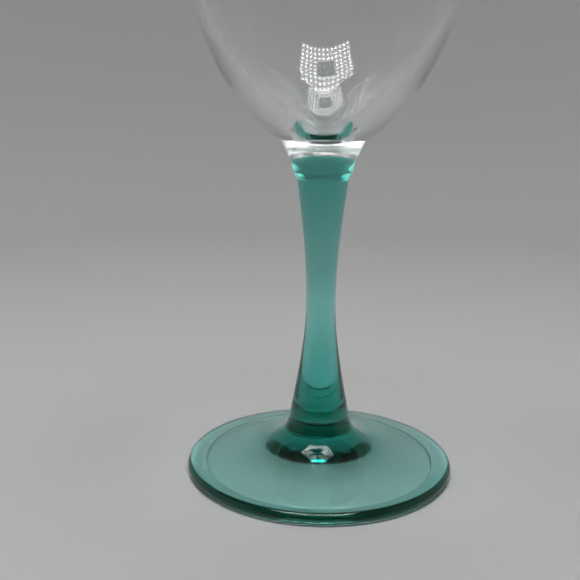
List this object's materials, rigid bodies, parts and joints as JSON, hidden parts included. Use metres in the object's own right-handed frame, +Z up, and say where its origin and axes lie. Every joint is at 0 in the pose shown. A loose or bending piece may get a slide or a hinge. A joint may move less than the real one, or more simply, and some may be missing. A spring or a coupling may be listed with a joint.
{
  "type": "wine glass",
  "caption": "Stemmed wine glass with a clear tulip bowl, a short clear collar, a waisted sea-green stem and a flat sea-green foot.",
  "frame": {"origin": "centre of the ring that the foot stands on, level with the table", "axes": "+Z up along the stem and out of the bowl's mouth; X and Y are any two level directions, because the glass is round"},
  "size_m": [0.074, 0.074, 0.19],
  "materials": {
    "clear_glass": "fire-polished clear glass, smooth and glossy",
    "green_glass": "fire-polished sea-green glass coloured right through, smooth and glossy"
  },
  "bodies": {
    "root": {"bowl": "clear_glass", "collar": "clear_glass", "stem": "green_glass", "foot": "green_glass"}
  },
  "joints": []
}
